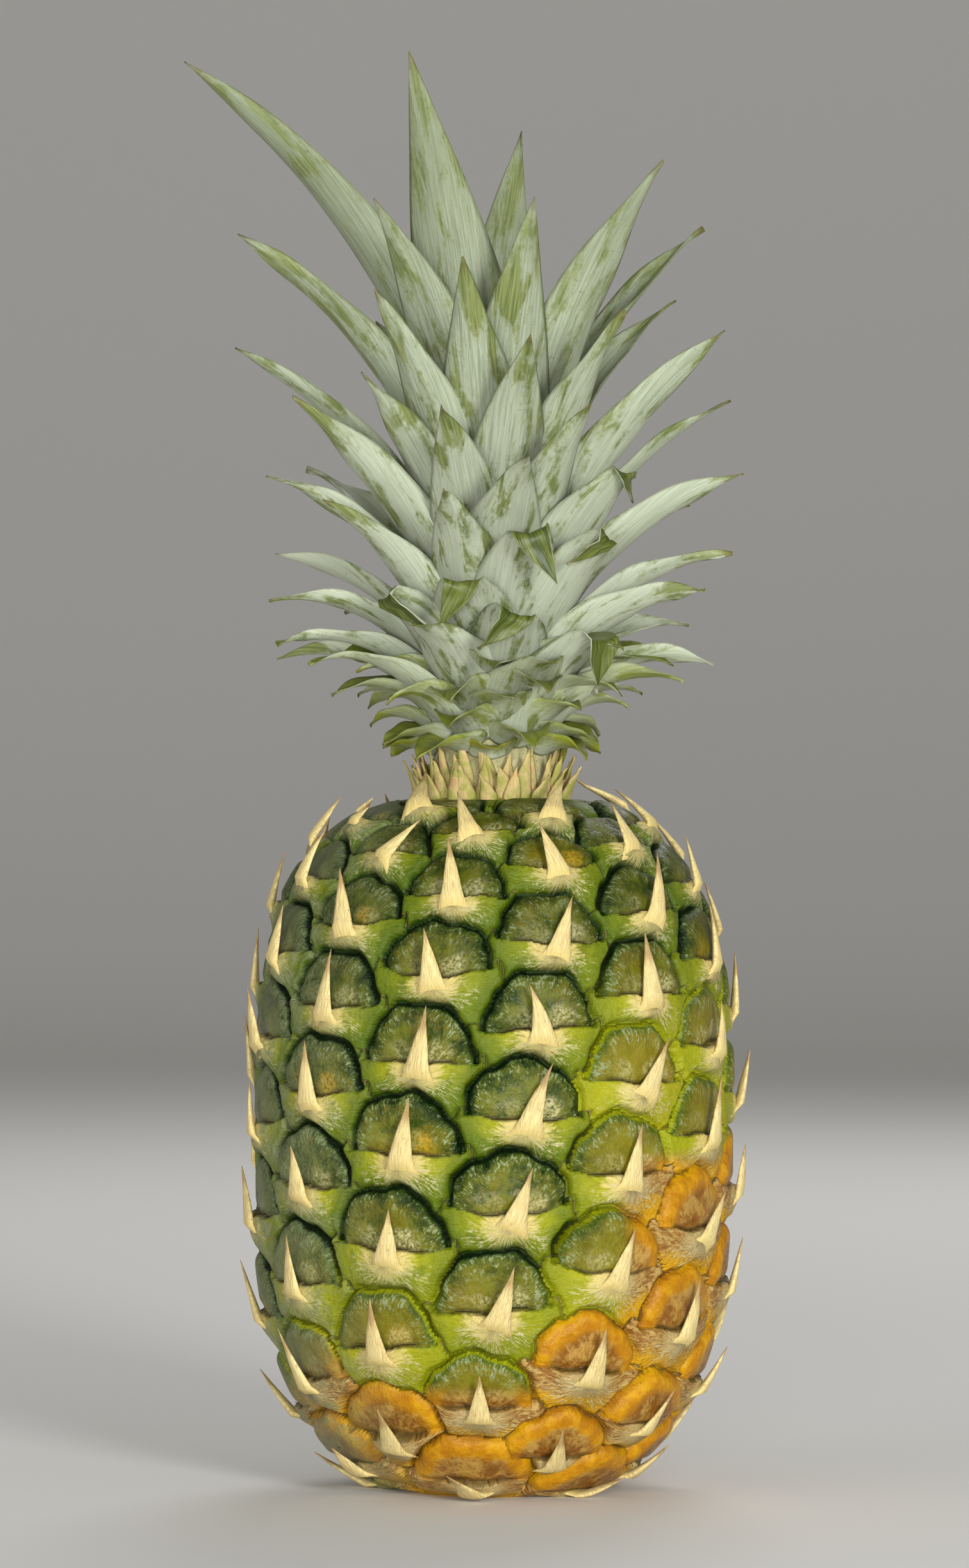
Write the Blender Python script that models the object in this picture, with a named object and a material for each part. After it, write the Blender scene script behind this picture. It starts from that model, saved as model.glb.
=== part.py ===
"""A whole pineapple, standing on the flat spot where its stalk was cut.

One fruit, which grew in one piece, carries a crown: a short tapering stem with leaves
in a spiral, short curled ones at the neck and long ones above, and a ring of pale bracts
below them. The frame has its origin at the middle of the flat spot, with +Z up along the
fruit's axis and -Y towards the side that is ripe on its right.
"""

import math

import bmesh
import bpy
from mathutils import Vector

MM = 0.001
CLEARANCE = 0.3 * MM

# The fruit
FRUIT_DIAMETER = 121 * MM
FRUIT_HEIGHT = 177 * MM
BELLY_HEIGHT = 85 * MM
BASE_SPOT_DIAMETER = 46 * MM
NECK_DIAMETER = 45 * MM
SHOULDER_FULLNESS = (3.6, 2.6)
FOOT_FULLNESS = (2.8, 2.3)
RING_SIDES = 26

# The eyes, in one spiral from the neck down
EYE_COUNT = 119
EYE_TURN = math.radians(138.17)
FIRST_EYE_AZIMUTH = math.radians(-2.6)
EYE_CROWDING = 0.05
EYE_END_MARGIN = 6.5 * MM
EYE_RISE = 1.6 * MM
GROOVE_DEPTH = 2.2 * MM
SPINE_ROOT = 4.0 * MM
SPINE_LENGTH = 11 * MM
SPINE_STANDOFF = 3.5 * MM

# The crown's stem
STEM_BOTTOM_DIAMETER = 33 * MM
STEM_TOP_DIAMETER = 5 * MM
STEM_HEIGHT = 110 * MM
STEM_SIDES = 28

# The crown's leaves
LEAF_THICKNESS = 0.55 * MM
LEAF_CHANNEL = 1.8 * MM
LEAF_CLASP = math.radians(46)
CHANNEL_WIDTH = 20 * MM
EDGE_THINNING = 0.35
FOLD_TURN = math.radians(100)
LEAF_ROWS = 6
LEAF_COLUMNS = 4
LEAF_FOOT_SHARE = 0.84
LEAF_FILLING = 0.8
LEAF_POINT = 1.6
LEAF_TAPER = 1.08
LEAF_CROWDING = 0.4
LEAF_CROWDING_POWER = 2.4
CROWN_HEIGHT = 190 * MM
CROWN_SPREAD = 65 * MM
FIRST_LEAF_RISE = 23 * MM
LAST_LEAF_RISE = 106 * MM

# From the lowest to the highest: azimuth in degrees, the tip's reach as a share of
# CROWN_SPREAD, its height as a share of CROWN_HEIGHT, the width in millimetres, the
# whole bend in degrees, and where the tip is folded over, as a share of the length.
CROWN_LEAVES = (
    (68, 0.80, 0.165, 15, 78, 1),
    (-150, 0.82, 0.170, 15, 78, 1),
    (23, 0.78, 0.190, 20, 60, 1),
    (-60, 0.84, 0.188, 14, 80, 1),
    (150, 0.84, 0.192, 16, 72, 1),
    (88, 0.88, 0.190, 15, 76, 1),
    (-105, 0.88, 0.200, 15, 72, 1),
    (45, 0.84, 0.230, 19, 50, 0.72),
    (-20, 0.80, 0.240, 20, 50, 1),
    (180, 0.88, 0.235, 18, 62, 1),
    (-72, 0.88, 0.212, 14, 80, 1),
    (120, 0.92, 0.250, 18, 60, 1),
    (8, 0.84, 0.268, 21, 44, 0.74),
    (-140, 0.92, 0.270, 18, 56, 1),
    (-80, 0.90, 0.275, 15, 76, 1),
    (66, 0.90, 0.290, 18, 54, 1),
    (-38, 0.84, 0.300, 17, 46, 0.72),
    (88, 0.95, 0.340, 16, 60, 1),
    (-12, 0.84, 0.318, 21, 38, 0.76),
    (-110, 0.95, 0.345, 17, 52, 1),
    (36, 0.90, 0.385, 20, 36, 0.80),
    (-50, 0.84, 0.405, 17, 44, 1),
    (128, 0.95, 0.420, 19, 44, 1),
    (16, 0.88, 0.395, 22, 34, 0.78),
    (-78, 0.92, 0.445, 13, 60, 1),
    (86, 0.99, 0.452, 20, 44, 1),
    (-16, 0.88, 0.412, 19, 40, 1),
    (-130, 0.97, 0.470, 19, 42, 1),
    (44, 0.92, 0.480, 19, 34, 0.82),
    (175, 0.96, 0.500, 21, 38, 1),
    (3, 0.92, 0.462, 22, 34, 1),
    (-57, 0.93, 0.545, 19, 36, 1),
    (105, 0.99, 0.560, 20, 38, 1),
    (24, 0.92, 0.530, 18, 34, 1),
    (-15, 0.86, 0.528, 20, 34, 1),
    (-92, 1.02, 0.628, 20, 42, 1),
    (150, 0.95, 0.640, 21, 36, 1),
    (74, 0.95, 0.642, 20, 30, 1),
    (-38, 0.80, 0.575, 17, 32, 1),
    (10, 0.88, 0.620, 21, 38, 1),
    (-150, 0.94, 0.680, 21, 36, 1),
    (38, 0.87, 0.655, 18, 30, 1),
    (-31, 0.82, 0.686, 19, 26, 1),
    (126, 0.84, 0.705, 19, 40, 1),
    (-8, 0.86, 0.722, 22, 26, 1),
    (-88, 1.00, 0.780, 22, 44, 1),
    (112, 0.90, 0.800, 20, 40, 1),
    (12, 0.76, 0.806, 23, 24, 1),
    (168, 0.70, 0.862, 22, 30, 1),
    (48, 0.84, 0.862, 22, 30, 1),
    (-34, 0.72, 0.812, 21, 28, 1),
    (-78, 1.24, 1.005, 25, 46, 1),
    (-172, 0.42, 0.936, 22, 20, 1),
    (-30, 0.68, 1.005, 27, 14, 1),
)

# The short curled leaves at the neck, whose bases are grown together in three whorls.
# From the lowest: the rise of the base above the fruit, the tips' reach from the axis
# and their rise above the fruit, and the azimuth of the first leaf.
NECK_WHORLS = (
    (11.8 * MM, 32 * MM, 7 * MM, math.radians(-30)),
    (15.4 * MM, 43 * MM, 17 * MM, math.radians(8)),
    (19.0 * MM, 51 * MM, 26 * MM, math.radians(-12)),
)
LEAVES_IN_WHORL = 9
WHORL_BEND = math.radians(86)
WHORL_NOTCH = 0.36
WHORL_ROWS = 3

# The pale bracts that stand round the neck, grown together at their feet
BRACTS = 13
BRACT_STANDOFF = 1.6 * MM
BRACT_LENGTH = 9.0 * MM
BRACT_FLARE = 1.6 * MM
BRACT_NOTCH = 0.4
BRACT_BEND = math.radians(14)

COLUMNS_IN_TOOTH = 4


def clear_scene():
    for scene_object in list(bpy.data.objects):
        bpy.data.objects.remove(scene_object, do_unlink=True)


def material(name, colour, roughness):
    made = bpy.data.materials.new(name)
    made.use_nodes = True
    shader = made.node_tree.nodes["Principled BSDF"]
    shader.inputs["Base Color"].default_value = (*colour, 1.0)
    shader.inputs["Roughness"].default_value = roughness
    shader.inputs["Metallic"].default_value = 0.0
    return made


def finish_object(name, bm, surface):
    bmesh.ops.recalc_face_normals(bm, faces=bm.faces)
    mesh = bpy.data.meshes.new(name)
    bm.to_mesh(mesh)
    bm.free()
    mesh.materials.append(surface)
    made = bpy.data.objects.new(name, mesh)
    bpy.context.scene.collection.objects.link(made)
    return made


def polar(radius, azimuth, height):
    """A point round the axis: azimuth 0 faces -Y and turns towards +X."""
    return Vector((radius * math.sin(azimuth), -radius * math.cos(azimuth), height))


def outline_radius(height):
    """The fruit's outline: two super-ellipses that meet at the belly."""
    belly = FRUIT_DIAMETER / 2
    above = height > BELLY_HEIGHT
    rise, fullness = SHOULDER_FULLNESS if above else FOOT_FULLNESS
    end_radius = (NECK_DIAMETER if above else BASE_SPOT_DIAMETER) / 2
    end_distance = FRUIT_HEIGHT - BELLY_HEIGHT if above else BELLY_HEIGHT
    end_share = (1 - (end_radius / belly) ** fullness) ** (1 / rise)
    share = abs(height - BELLY_HEIGHT) / end_distance * end_share
    return belly * (1 - share**rise) ** (1 / fullness)


def outline_walk(steps=600):
    """Points down the outline from the neck, with the distance walked to each."""
    walk = []
    distance = 0.0
    for step in range(steps + 1):
        height = FRUIT_HEIGHT * (1 + math.cos(math.pi * step / steps)) / 2
        radius = outline_radius(height)
        if walk:
            distance += math.hypot(radius - walk[-1][1], height - walk[-1][2])
        walk.append((distance, radius, height))
    return walk


def eye_places():
    """Azimuth, radius, height and the outline's slope at the middle of each eye."""
    walk = outline_walk()
    whole = walk[-1][0]
    neck_margin = bract_ring_radius() + SPINE_LENGTH + CLEARANCE - NECK_DIAMETER / 2
    places = []
    step = 1
    for number in range(EYE_COUNT):
        turned = number / EYE_COUNT
        distance = whole * (turned - EYE_CROWDING * math.sin(math.pi * turned))
        if not neck_margin < distance < whole - EYE_END_MARGIN:
            continue
        while walk[step][0] < distance:
            step += 1
        before, after = walk[step - 1], walk[step]
        slope = math.atan2(after[1] - before[1], before[2] - after[2])
        azimuth = FIRST_EYE_AZIMUTH + number * EYE_TURN
        places.append((azimuth, after[1], after[2], slope))
    return places


def make_fruit(surface):
    """The barrel, faceted between its eyes, with a low spine on each eye."""
    bm = bmesh.new()
    spine_ways = {}
    for azimuth, radius, height, slope in eye_places():
        out = polar(math.cos(slope), azimuth, math.sin(slope))
        up = polar(-math.sin(slope), azimuth, math.cos(slope))
        eye = bm.verts.new(polar(radius, azimuth, height) + out * EYE_RISE)
        spine_ways[eye] = (out, up)
    for side in range(RING_SIDES):
        azimuth = math.tau * side / RING_SIDES
        bm.verts.new(polar(NECK_DIAMETER / 2, azimuth, FRUIT_HEIGHT))
        bm.verts.new(polar(BASE_SPOT_DIAMETER / 2, azimuth, 0))
    eyes = list(spine_ways)
    bmesh.ops.convex_hull(bm, input=bm.verts)
    for end in (0, FRUIT_HEIGHT):
        flat = [f for f in bm.faces if all(abs(v.co.z - end) < CLEARANCE / 10 for v in f.verts)]
        bmesh.ops.dissolve_faces(bm, faces=flat)

    ways = {tuple(eye.co): spine_ways[eye] for eye in eyes}
    roots = []
    for place, (out, up) in ways.items():
        eye = min(bm.verts, key=lambda v: (v.co - Vector(place)).length_squared)
        made = bmesh.ops.bevel(
            bm, geom=[eye], offset=SPINE_ROOT, offset_type="OFFSET", affect="VERTICES", segments=1, profile=0.5
        )
        roots.append((made["faces"][0], out, up))

    root_faces = {root for root, _, _ in roots}
    root_verts = {v for root in root_faces for v in root.verts}
    between_eyes = [
        e for e in bm.edges if set(e.verts) <= root_verts and not root_faces & set(e.link_faces)
    ]
    grooves = []
    for edge in between_eyes:
        grooves.append(bmesh.utils.edge_split(edge, edge.verts[0], 0.5)[1])
    sides = [f for f in bm.faces if f not in root_faces and root_verts & set(f.verts)]
    grooves += bmesh.ops.poke(bm, faces=sides)["verts"]
    bm.normal_update()
    for groove, inwards in [(v, v.normal.copy()) for v in grooves]:
        groove.co -= inwards * GROOVE_DEPTH

    for root, out, up in roots:
        middle = root.calc_center_median()
        tip = middle + out * SPINE_STANDOFF + up * SPINE_LENGTH
        spine = bmesh.ops.extrude_discrete_faces(bm, faces=[root])["faces"][0]
        bmesh.ops.pointmerge(bm, verts=spine.verts, merge_co=tip)
    bmesh.ops.triangulate(bm, faces=[f for f in bm.faces if len(f.verts) > 3])
    return finish_object("fruit", bm, surface)


def stem_radius(rise):
    """The radius of the crown's stem at a height above the fruit."""
    share = min(1.0, max(0.0, rise / STEM_HEIGHT))
    return STEM_BOTTOM_DIAMETER / 2 + (STEM_TOP_DIAMETER - STEM_BOTTOM_DIAMETER) / 2 * share


def bract_ring_radius():
    """How far the tips of the neck's bracts stand from the axis."""
    return STEM_BOTTOM_DIAMETER / 2 + BRACT_STANDOFF + BRACT_FLARE


def make_stem(surface):
    """The crown's stem, a tapering core that the leaves grow round."""
    bm = bmesh.new()
    depth = STEM_HEIGHT - CLEARANCE
    bmesh.ops.create_cone(
        bm,
        cap_ends=True,
        segments=STEM_SIDES,
        radius1=stem_radius(CLEARANCE),
        radius2=stem_radius(STEM_HEIGHT),
        depth=depth,
    )
    bmesh.ops.translate(bm, verts=bm.verts, vec=(0, 0, FRUIT_HEIGHT + CLEARANCE + depth / 2))
    return finish_object("crown_stem", bm, surface)


def leaf_outline(share):
    """A leaf's half width along its length, as a share of its greatest."""
    return min(1.0, LEAF_FOOT_SHARE + LEAF_FILLING * share) * max(0.0, 1 - share**LEAF_POINT) ** LEAF_TAPER


def arc_point(base, tip, bend, share):
    """Radius, height and facing at a share of an arc from base to tip, in one upright plane."""
    chord = math.hypot(tip[0] - base[0], tip[1] - base[1])
    lean = math.atan2(tip[0] - base[0], tip[1] - base[1])
    along = chord * math.sin(bend * share / 2) / math.sin(bend / 2)
    way = lean - bend * (1 - share) / 2
    facing = lean + bend * (share - 0.5)
    return base[0] + along * math.sin(way), base[1] + along * math.cos(way), facing


def skin_point(station, azimuth, offset):
    """A point off a station's line, outwards or, below zero, inwards and up."""
    radius, height, facing = station
    return polar(radius + offset * math.cos(facing), azimuth, height - offset * math.sin(facing))


def add_leaf(bm, azimuth, base, tip, width, bend, fold):
    """One leaf: a curved, channelled blade from base to tip, each a radius and a height.

    Its midrib is an arc of the given bend, and it wraps round the crown's axis, so that
    the leaves nest. A fold below 1 turns the rest of the blade outwards and down.
    """
    skins = ([], [])
    for row in range(LEAF_ROWS + 1):
        share = row / LEAF_ROWS
        station = arc_point(base, tip, bend, min(share, fold))
        if share > fold:
            rest = math.hypot(tip[0] - base[0], tip[1] - base[1]) * (share - fold)
            facing = station[2] + FOLD_TURN
            station = (station[0] + rest * math.sin(facing), station[1] + rest * math.cos(facing), facing)
        if row == LEAF_ROWS:
            point = bm.verts.new(polar(station[0], azimuth, station[1]))
            break
        clasp = min(LEAF_CLASP, width / 2 * leaf_outline(share) / station[0])
        channel = LEAF_CHANNEL * math.sin(math.pi * share) * width / CHANNEL_WIDTH
        for skin, side in zip(skins, (0.5, -0.5)):
            line = []
            for column in range(LEAF_COLUMNS + 1):
                across = 2 * column / LEAF_COLUMNS - 1
                offset = side * LEAF_THICKNESS * (1 - EDGE_THINNING * abs(across)) - channel * across**2
                line.append(bm.verts.new(skin_point(station, azimuth + clasp * across, offset)))
            skin.append(line)

    outer, inner = skins
    for skin in skins:
        for lower, upper in zip(skin, skin[1:]):
            for column in range(LEAF_COLUMNS):
                bm.faces.new((lower[column], lower[column + 1], upper[column + 1], upper[column]))
        for column in range(LEAF_COLUMNS):
            bm.faces.new((skin[-1][column], skin[-1][column + 1], point))
    for edge in (0, LEAF_COLUMNS):
        for row in range(LEAF_ROWS - 1):
            bm.faces.new((outer[row][edge], outer[row + 1][edge], inner[row + 1][edge], inner[row][edge]))
        bm.faces.new((outer[-1][edge], point, inner[-1][edge]))
    for column in range(LEAF_COLUMNS):
        bm.faces.new((outer[0][column], outer[0][column + 1], inner[0][column + 1], inner[0][column]))


def add_whorl(bm, teeth, start, base, tip, bend, notch, rows):
    """A collar of pointed teeth round the axis, which share their feet up to the notch."""
    columns = teeth * COLUMNS_IN_TOOTH
    loops = []
    for column in range(columns):
        azimuth = start + math.tau * column / columns
        tooth = 1 - abs(2 * ((column / COLUMNS_IN_TOOTH + 0.5) % 1) - 1)
        reach = notch + (1 - notch) * tooth
        outer = []
        inner = []
        for row in range(rows + 1):
            station = arc_point(base, tip, bend, reach * row / rows)
            outer.append(bm.verts.new(skin_point(station, azimuth, LEAF_THICKNESS / 2)))
            inner.append(bm.verts.new(skin_point(station, azimuth, -LEAF_THICKNESS / 2)))
        loops.append(outer + inner[::-1])
    for first, second in zip(loops, loops[1:] + loops[:1]):
        for number in range(len(first)):
            bm.faces.new((first[number], second[number], second[number - 1], first[number - 1]))


def leaf_base(rise):
    """Where a leaf leaves the stem, with its inner side just clear of it."""
    return stem_radius(rise) + CLEARANCE + LEAF_THICKNESS / 2, FRUIT_HEIGHT + rise


def make_crown_leaves(surface):
    """The large leaves, one object each."""
    last = len(CROWN_LEAVES) - 1
    for number, (azimuth, reach, height, width, bend, fold) in enumerate(CROWN_LEAVES):
        turned = number / last
        climbed = (1 - LEAF_CROWDING) * turned + LEAF_CROWDING * turned**LEAF_CROWDING_POWER
        rise = FIRST_LEAF_RISE + (LAST_LEAF_RISE - FIRST_LEAF_RISE) * climbed
        tip = (CROWN_SPREAD * reach, FRUIT_HEIGHT + CROWN_HEIGHT * height)
        bm = bmesh.new()
        add_leaf(bm, math.radians(azimuth), leaf_base(rise), tip, width * MM, math.radians(bend), fold)
        bmesh.ops.triangulate(bm, faces=bm.faces)
        finish_object(f"crown_leaf_{number + 1:02d}", bm, surface)


def make_neck_whorls(surface):
    """The short, curled leaves at the neck."""
    for number, (rise, reach, tip_rise, start) in enumerate(NECK_WHORLS):
        bm = bmesh.new()
        tip = (reach, FRUIT_HEIGHT + tip_rise)
        add_whorl(bm, LEAVES_IN_WHORL, start, leaf_base(rise), tip, WHORL_BEND, WHORL_NOTCH, WHORL_ROWS)
        bmesh.ops.triangulate(bm, faces=bm.faces)
        finish_object(f"neck_whorl_{number + 1}", bm, surface)


def make_neck_bracts(surface):
    """The ring of pointed bracts between the fruit and the lowest leaves."""
    bm = bmesh.new()
    foot = FRUIT_HEIGHT + CLEARANCE
    tip = (bract_ring_radius(), foot + BRACT_LENGTH)
    add_whorl(bm, BRACTS, 0, (tip[0] - BRACT_FLARE, foot), tip, BRACT_BEND, BRACT_NOTCH, 2)
    bmesh.ops.triangulate(bm, faces=bm.faces)
    finish_object("neck_bracts", bm, surface)


def main():
    clear_scene()
    make_fruit(material("rind", (0.16, 0.22, 0.05), 0.5))
    make_stem(material("stem", (0.62, 0.60, 0.38), 0.7))
    make_neck_bracts(material("bract", (0.80, 0.70, 0.42), 0.7))
    leaf = material("leaf", (0.42, 0.48, 0.36), 0.6)
    make_neck_whorls(leaf)
    make_crown_leaves(leaf)


main()
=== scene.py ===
import math
import random

import bpy
import numpy as np
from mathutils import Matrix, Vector


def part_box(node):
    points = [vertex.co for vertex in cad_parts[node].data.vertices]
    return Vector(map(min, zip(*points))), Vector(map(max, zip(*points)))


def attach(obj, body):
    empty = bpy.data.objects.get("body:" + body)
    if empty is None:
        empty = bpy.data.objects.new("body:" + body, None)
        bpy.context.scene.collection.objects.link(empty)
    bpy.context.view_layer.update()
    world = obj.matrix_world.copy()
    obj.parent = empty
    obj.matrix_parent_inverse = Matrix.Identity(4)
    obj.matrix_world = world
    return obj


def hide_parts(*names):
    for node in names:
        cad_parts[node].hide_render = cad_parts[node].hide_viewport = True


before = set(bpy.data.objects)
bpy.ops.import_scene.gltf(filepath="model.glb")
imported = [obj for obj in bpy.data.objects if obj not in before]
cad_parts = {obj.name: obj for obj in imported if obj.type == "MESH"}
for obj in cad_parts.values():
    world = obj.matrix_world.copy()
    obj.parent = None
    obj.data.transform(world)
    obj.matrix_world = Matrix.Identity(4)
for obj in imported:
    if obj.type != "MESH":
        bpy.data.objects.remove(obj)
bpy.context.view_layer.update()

MM = 0.001
BODY = "root"

# The fruit's outline, as the CAD model draws it
FRUIT_DIAMETER = 121 * MM
FRUIT_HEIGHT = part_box("crown_stem")[0].z - 0.3 * MM
BELLY_HEIGHT = 85 * MM
BASE_SPOT_DIAMETER = 46 * MM
NECK_DIAMETER = 45 * MM
SHOULDER_FULLNESS = (3.6, 2.6)
FOOT_FULLNESS = (2.8, 2.3)

# The eyes, in one spiral from the neck down
EYE_COUNT = 119
EYE_TURN = math.radians(138.17)
FIRST_EYE_AZIMUTH = math.radians(-2.6)
EYE_CROWDING = 0.05
EYE_END_MARGIN = 5.0 * MM
LIP_DROP = 1.2 * MM
DOME_HALF_WIDTH = 13.0 * MM
DOME_HEIGHT = 13.6 * MM
BRACT_HALF_WIDTH = 15.5 * MM
BRACT_DEPTH = 13.0 * MM
USUAL_EYE = 12.6 * MM

# The crown
STEM_HEIGHT = 110 * MM
STEM_BOTTOM_RADIUS = 16.5 * MM
STEM_TOP_RADIUS = 2.5 * MM
CROWN_HEIGHT = 187 * MM
CROWN_SPREAD = 65 * MM
FIRST_LEAF_RISE = 15 * MM
LAST_LEAF_RISE = 76 * MM


def deselect_all():
    for chosen in list(bpy.context.selected_objects):
        chosen.select_set(False)


def activate(piece):
    deselect_all()
    piece.select_set(True)
    bpy.context.view_layer.objects.active = piece


def apply_modifiers(piece):
    activate(piece)
    for modifier in list(piece.modifiers):
        bpy.ops.object.modifier_apply(modifier=modifier.name)


def points_of(piece):
    flat = np.zeros(len(piece.data.vertices) * 3)
    piece.data.vertices.foreach_get("co", flat)
    return flat.reshape(-1, 3)


def move_points(piece, places):
    piece.data.vertices.foreach_set("co", np.ascontiguousarray(places, np.float32).ravel())
    piece.data.update()


def write_attribute(piece, name, values):
    made = piece.data.attributes.new(name, "FLOAT_VECTOR", "POINT")
    made.data.foreach_set("vector", np.ascontiguousarray(values, np.float32).ravel())


def join(pieces, name):
    activate(pieces[0])
    for piece in pieces[1:]:
        piece.select_set(True)
    if len(pieces) > 1:
        bpy.ops.object.join()
    pieces[0].name = name
    pieces[0].data.name = name
    return pieces[0]


def smooth(value, low, high):
    share = np.clip((value - low) / (high - low), 0, 1)
    return share * share * (3 - 2 * share)


def polar(radius, azimuth, height):
    """Points round the axis: azimuth 0 faces -Y and turns towards +X."""
    return np.stack([radius * np.sin(azimuth), -radius * np.cos(azimuth), height + 0 * radius], -1)


# ---------------------------------------------------------------- shader maths


class Wire:
    """A shader socket that takes part in arithmetic, one Math node for each step."""

    def __init__(self, board, socket):
        self.board = board
        self.socket = socket

    def _math(self, operation, first, second):
        return self.board.node("ShaderNodeMath", {"operation": operation}, {0: first, 1: second})

    def __add__(self, other):
        return self._math("ADD", self, other)

    def __radd__(self, other):
        return self._math("ADD", other, self)

    def __sub__(self, other):
        return self._math("SUBTRACT", self, other)

    def __rsub__(self, other):
        return self._math("SUBTRACT", other, self)

    def __mul__(self, other):
        return self._math("MULTIPLY", self, other)

    def __rmul__(self, other):
        return self._math("MULTIPLY", other, self)

    def __truediv__(self, other):
        return self._math("DIVIDE", self, other)


class Board:
    """One material's nodes."""

    def __init__(self, name):
        self.material = bpy.data.materials.new(name)
        self.material.use_nodes = True
        self.tree = self.material.node_tree
        self.shader = self.tree.nodes["Principled BSDF"]

    def node(self, kind, settings, inputs, output=0):
        """Adds a node, sets it up, feeds its sockets with values or wires, and gives its output."""
        made = self.tree.nodes.new(kind)
        for key, value in settings.items():
            if key == "stops":
                self.set_stops(made.color_ramp, value)
            else:
                setattr(made, key, value)
        for key, value in inputs.items():
            if isinstance(value, Wire):
                self.tree.links.new(value.socket, made.inputs[key])
            else:
                made.inputs[key].default_value = value
        return Wire(self, made.outputs[output])

    @staticmethod
    def set_stops(ramp, stops):
        while len(ramp.elements) > len(stops):
            ramp.elements.remove(ramp.elements[-1])
        while len(ramp.elements) < len(stops):
            ramp.elements.new(1.0)
        for element, (place, colour) in zip(ramp.elements, stops):
            element.position = place
            element.color = (*colour, 1.0)

    def attribute(self, name):
        """The three numbers of an attribute, each a wire."""
        vector = self.node("ShaderNodeAttribute", {"attribute_name": name}, {}, "Vector")
        return self.parts(vector)

    def parts(self, vector):
        first = self.node("ShaderNodeSeparateXYZ", {}, {0: vector})
        outputs = first.socket.node.outputs
        return tuple(Wire(self, outputs[number]) for number in range(3))

    def absolute(self, value):
        return self.node("ShaderNodeMath", {"operation": "ABSOLUTE"}, {0: value})

    def length(self, x, y):
        return self.node("ShaderNodeVectorMath", {"operation": "LENGTH"}, {0: self.vector(x, y, 0.0)}, "Value")

    def vector(self, x, y, z):
        return self.node("ShaderNodeCombineXYZ", {}, {0: x, 1: y, 2: z})

    def place(self):
        return self.node("ShaderNodeTexCoord", {}, {}, "Object")

    def noise(self, vector, scale, detail=3.0, roughness=0.55, distortion=0.0):
        values = {"Vector": vector, "Scale": scale, "Detail": detail, "Roughness": roughness}
        values["Distortion"] = distortion
        return self.node("ShaderNodeTexNoise", {}, values, "Fac")

    def step(self, value, low, high):
        """0 below low, 1 above high, and smooth between them; low may be above high."""
        values = {"Value": value, "From Min": low, "From Max": high}
        return self.node("ShaderNodeMapRange", {"interpolation_type": "SMOOTHSTEP"}, values)

    def blend(self, share, first, second):
        """From the first colour to the second."""
        colours = [c if isinstance(c, Wire) else (*c, 1.0) for c in (first, second)]
        settings = {"data_type": "RGBA", "clamp_factor": True}
        return self.node("ShaderNodeMix", settings, {0: share, 6: colours[0], 7: colours[1]}, 2)

    def finish(self, colour, roughness, height=None, lift=0.4 * MM, **fixed):
        """Feeds the Principled shader; lift is the height in metres that the bump stands for."""
        for name, value in (("Base Color", colour), ("Roughness", roughness)):
            if isinstance(value, Wire):
                self.tree.links.new(value.socket, self.shader.inputs[name])
            else:
                self.shader.inputs[name].default_value = value
        if height is not None:
            bump = self.node("ShaderNodeBump", {}, {"Height": height, "Strength": 1.0, "Distance": lift}, "Normal")
            self.tree.links.new(bump.socket, self.shader.inputs["Normal"])
        for name, value in fixed.items():
            self.shader.inputs[name].default_value = value
        return self.material


# ---------------------------------------------------------------- finishes


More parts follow.
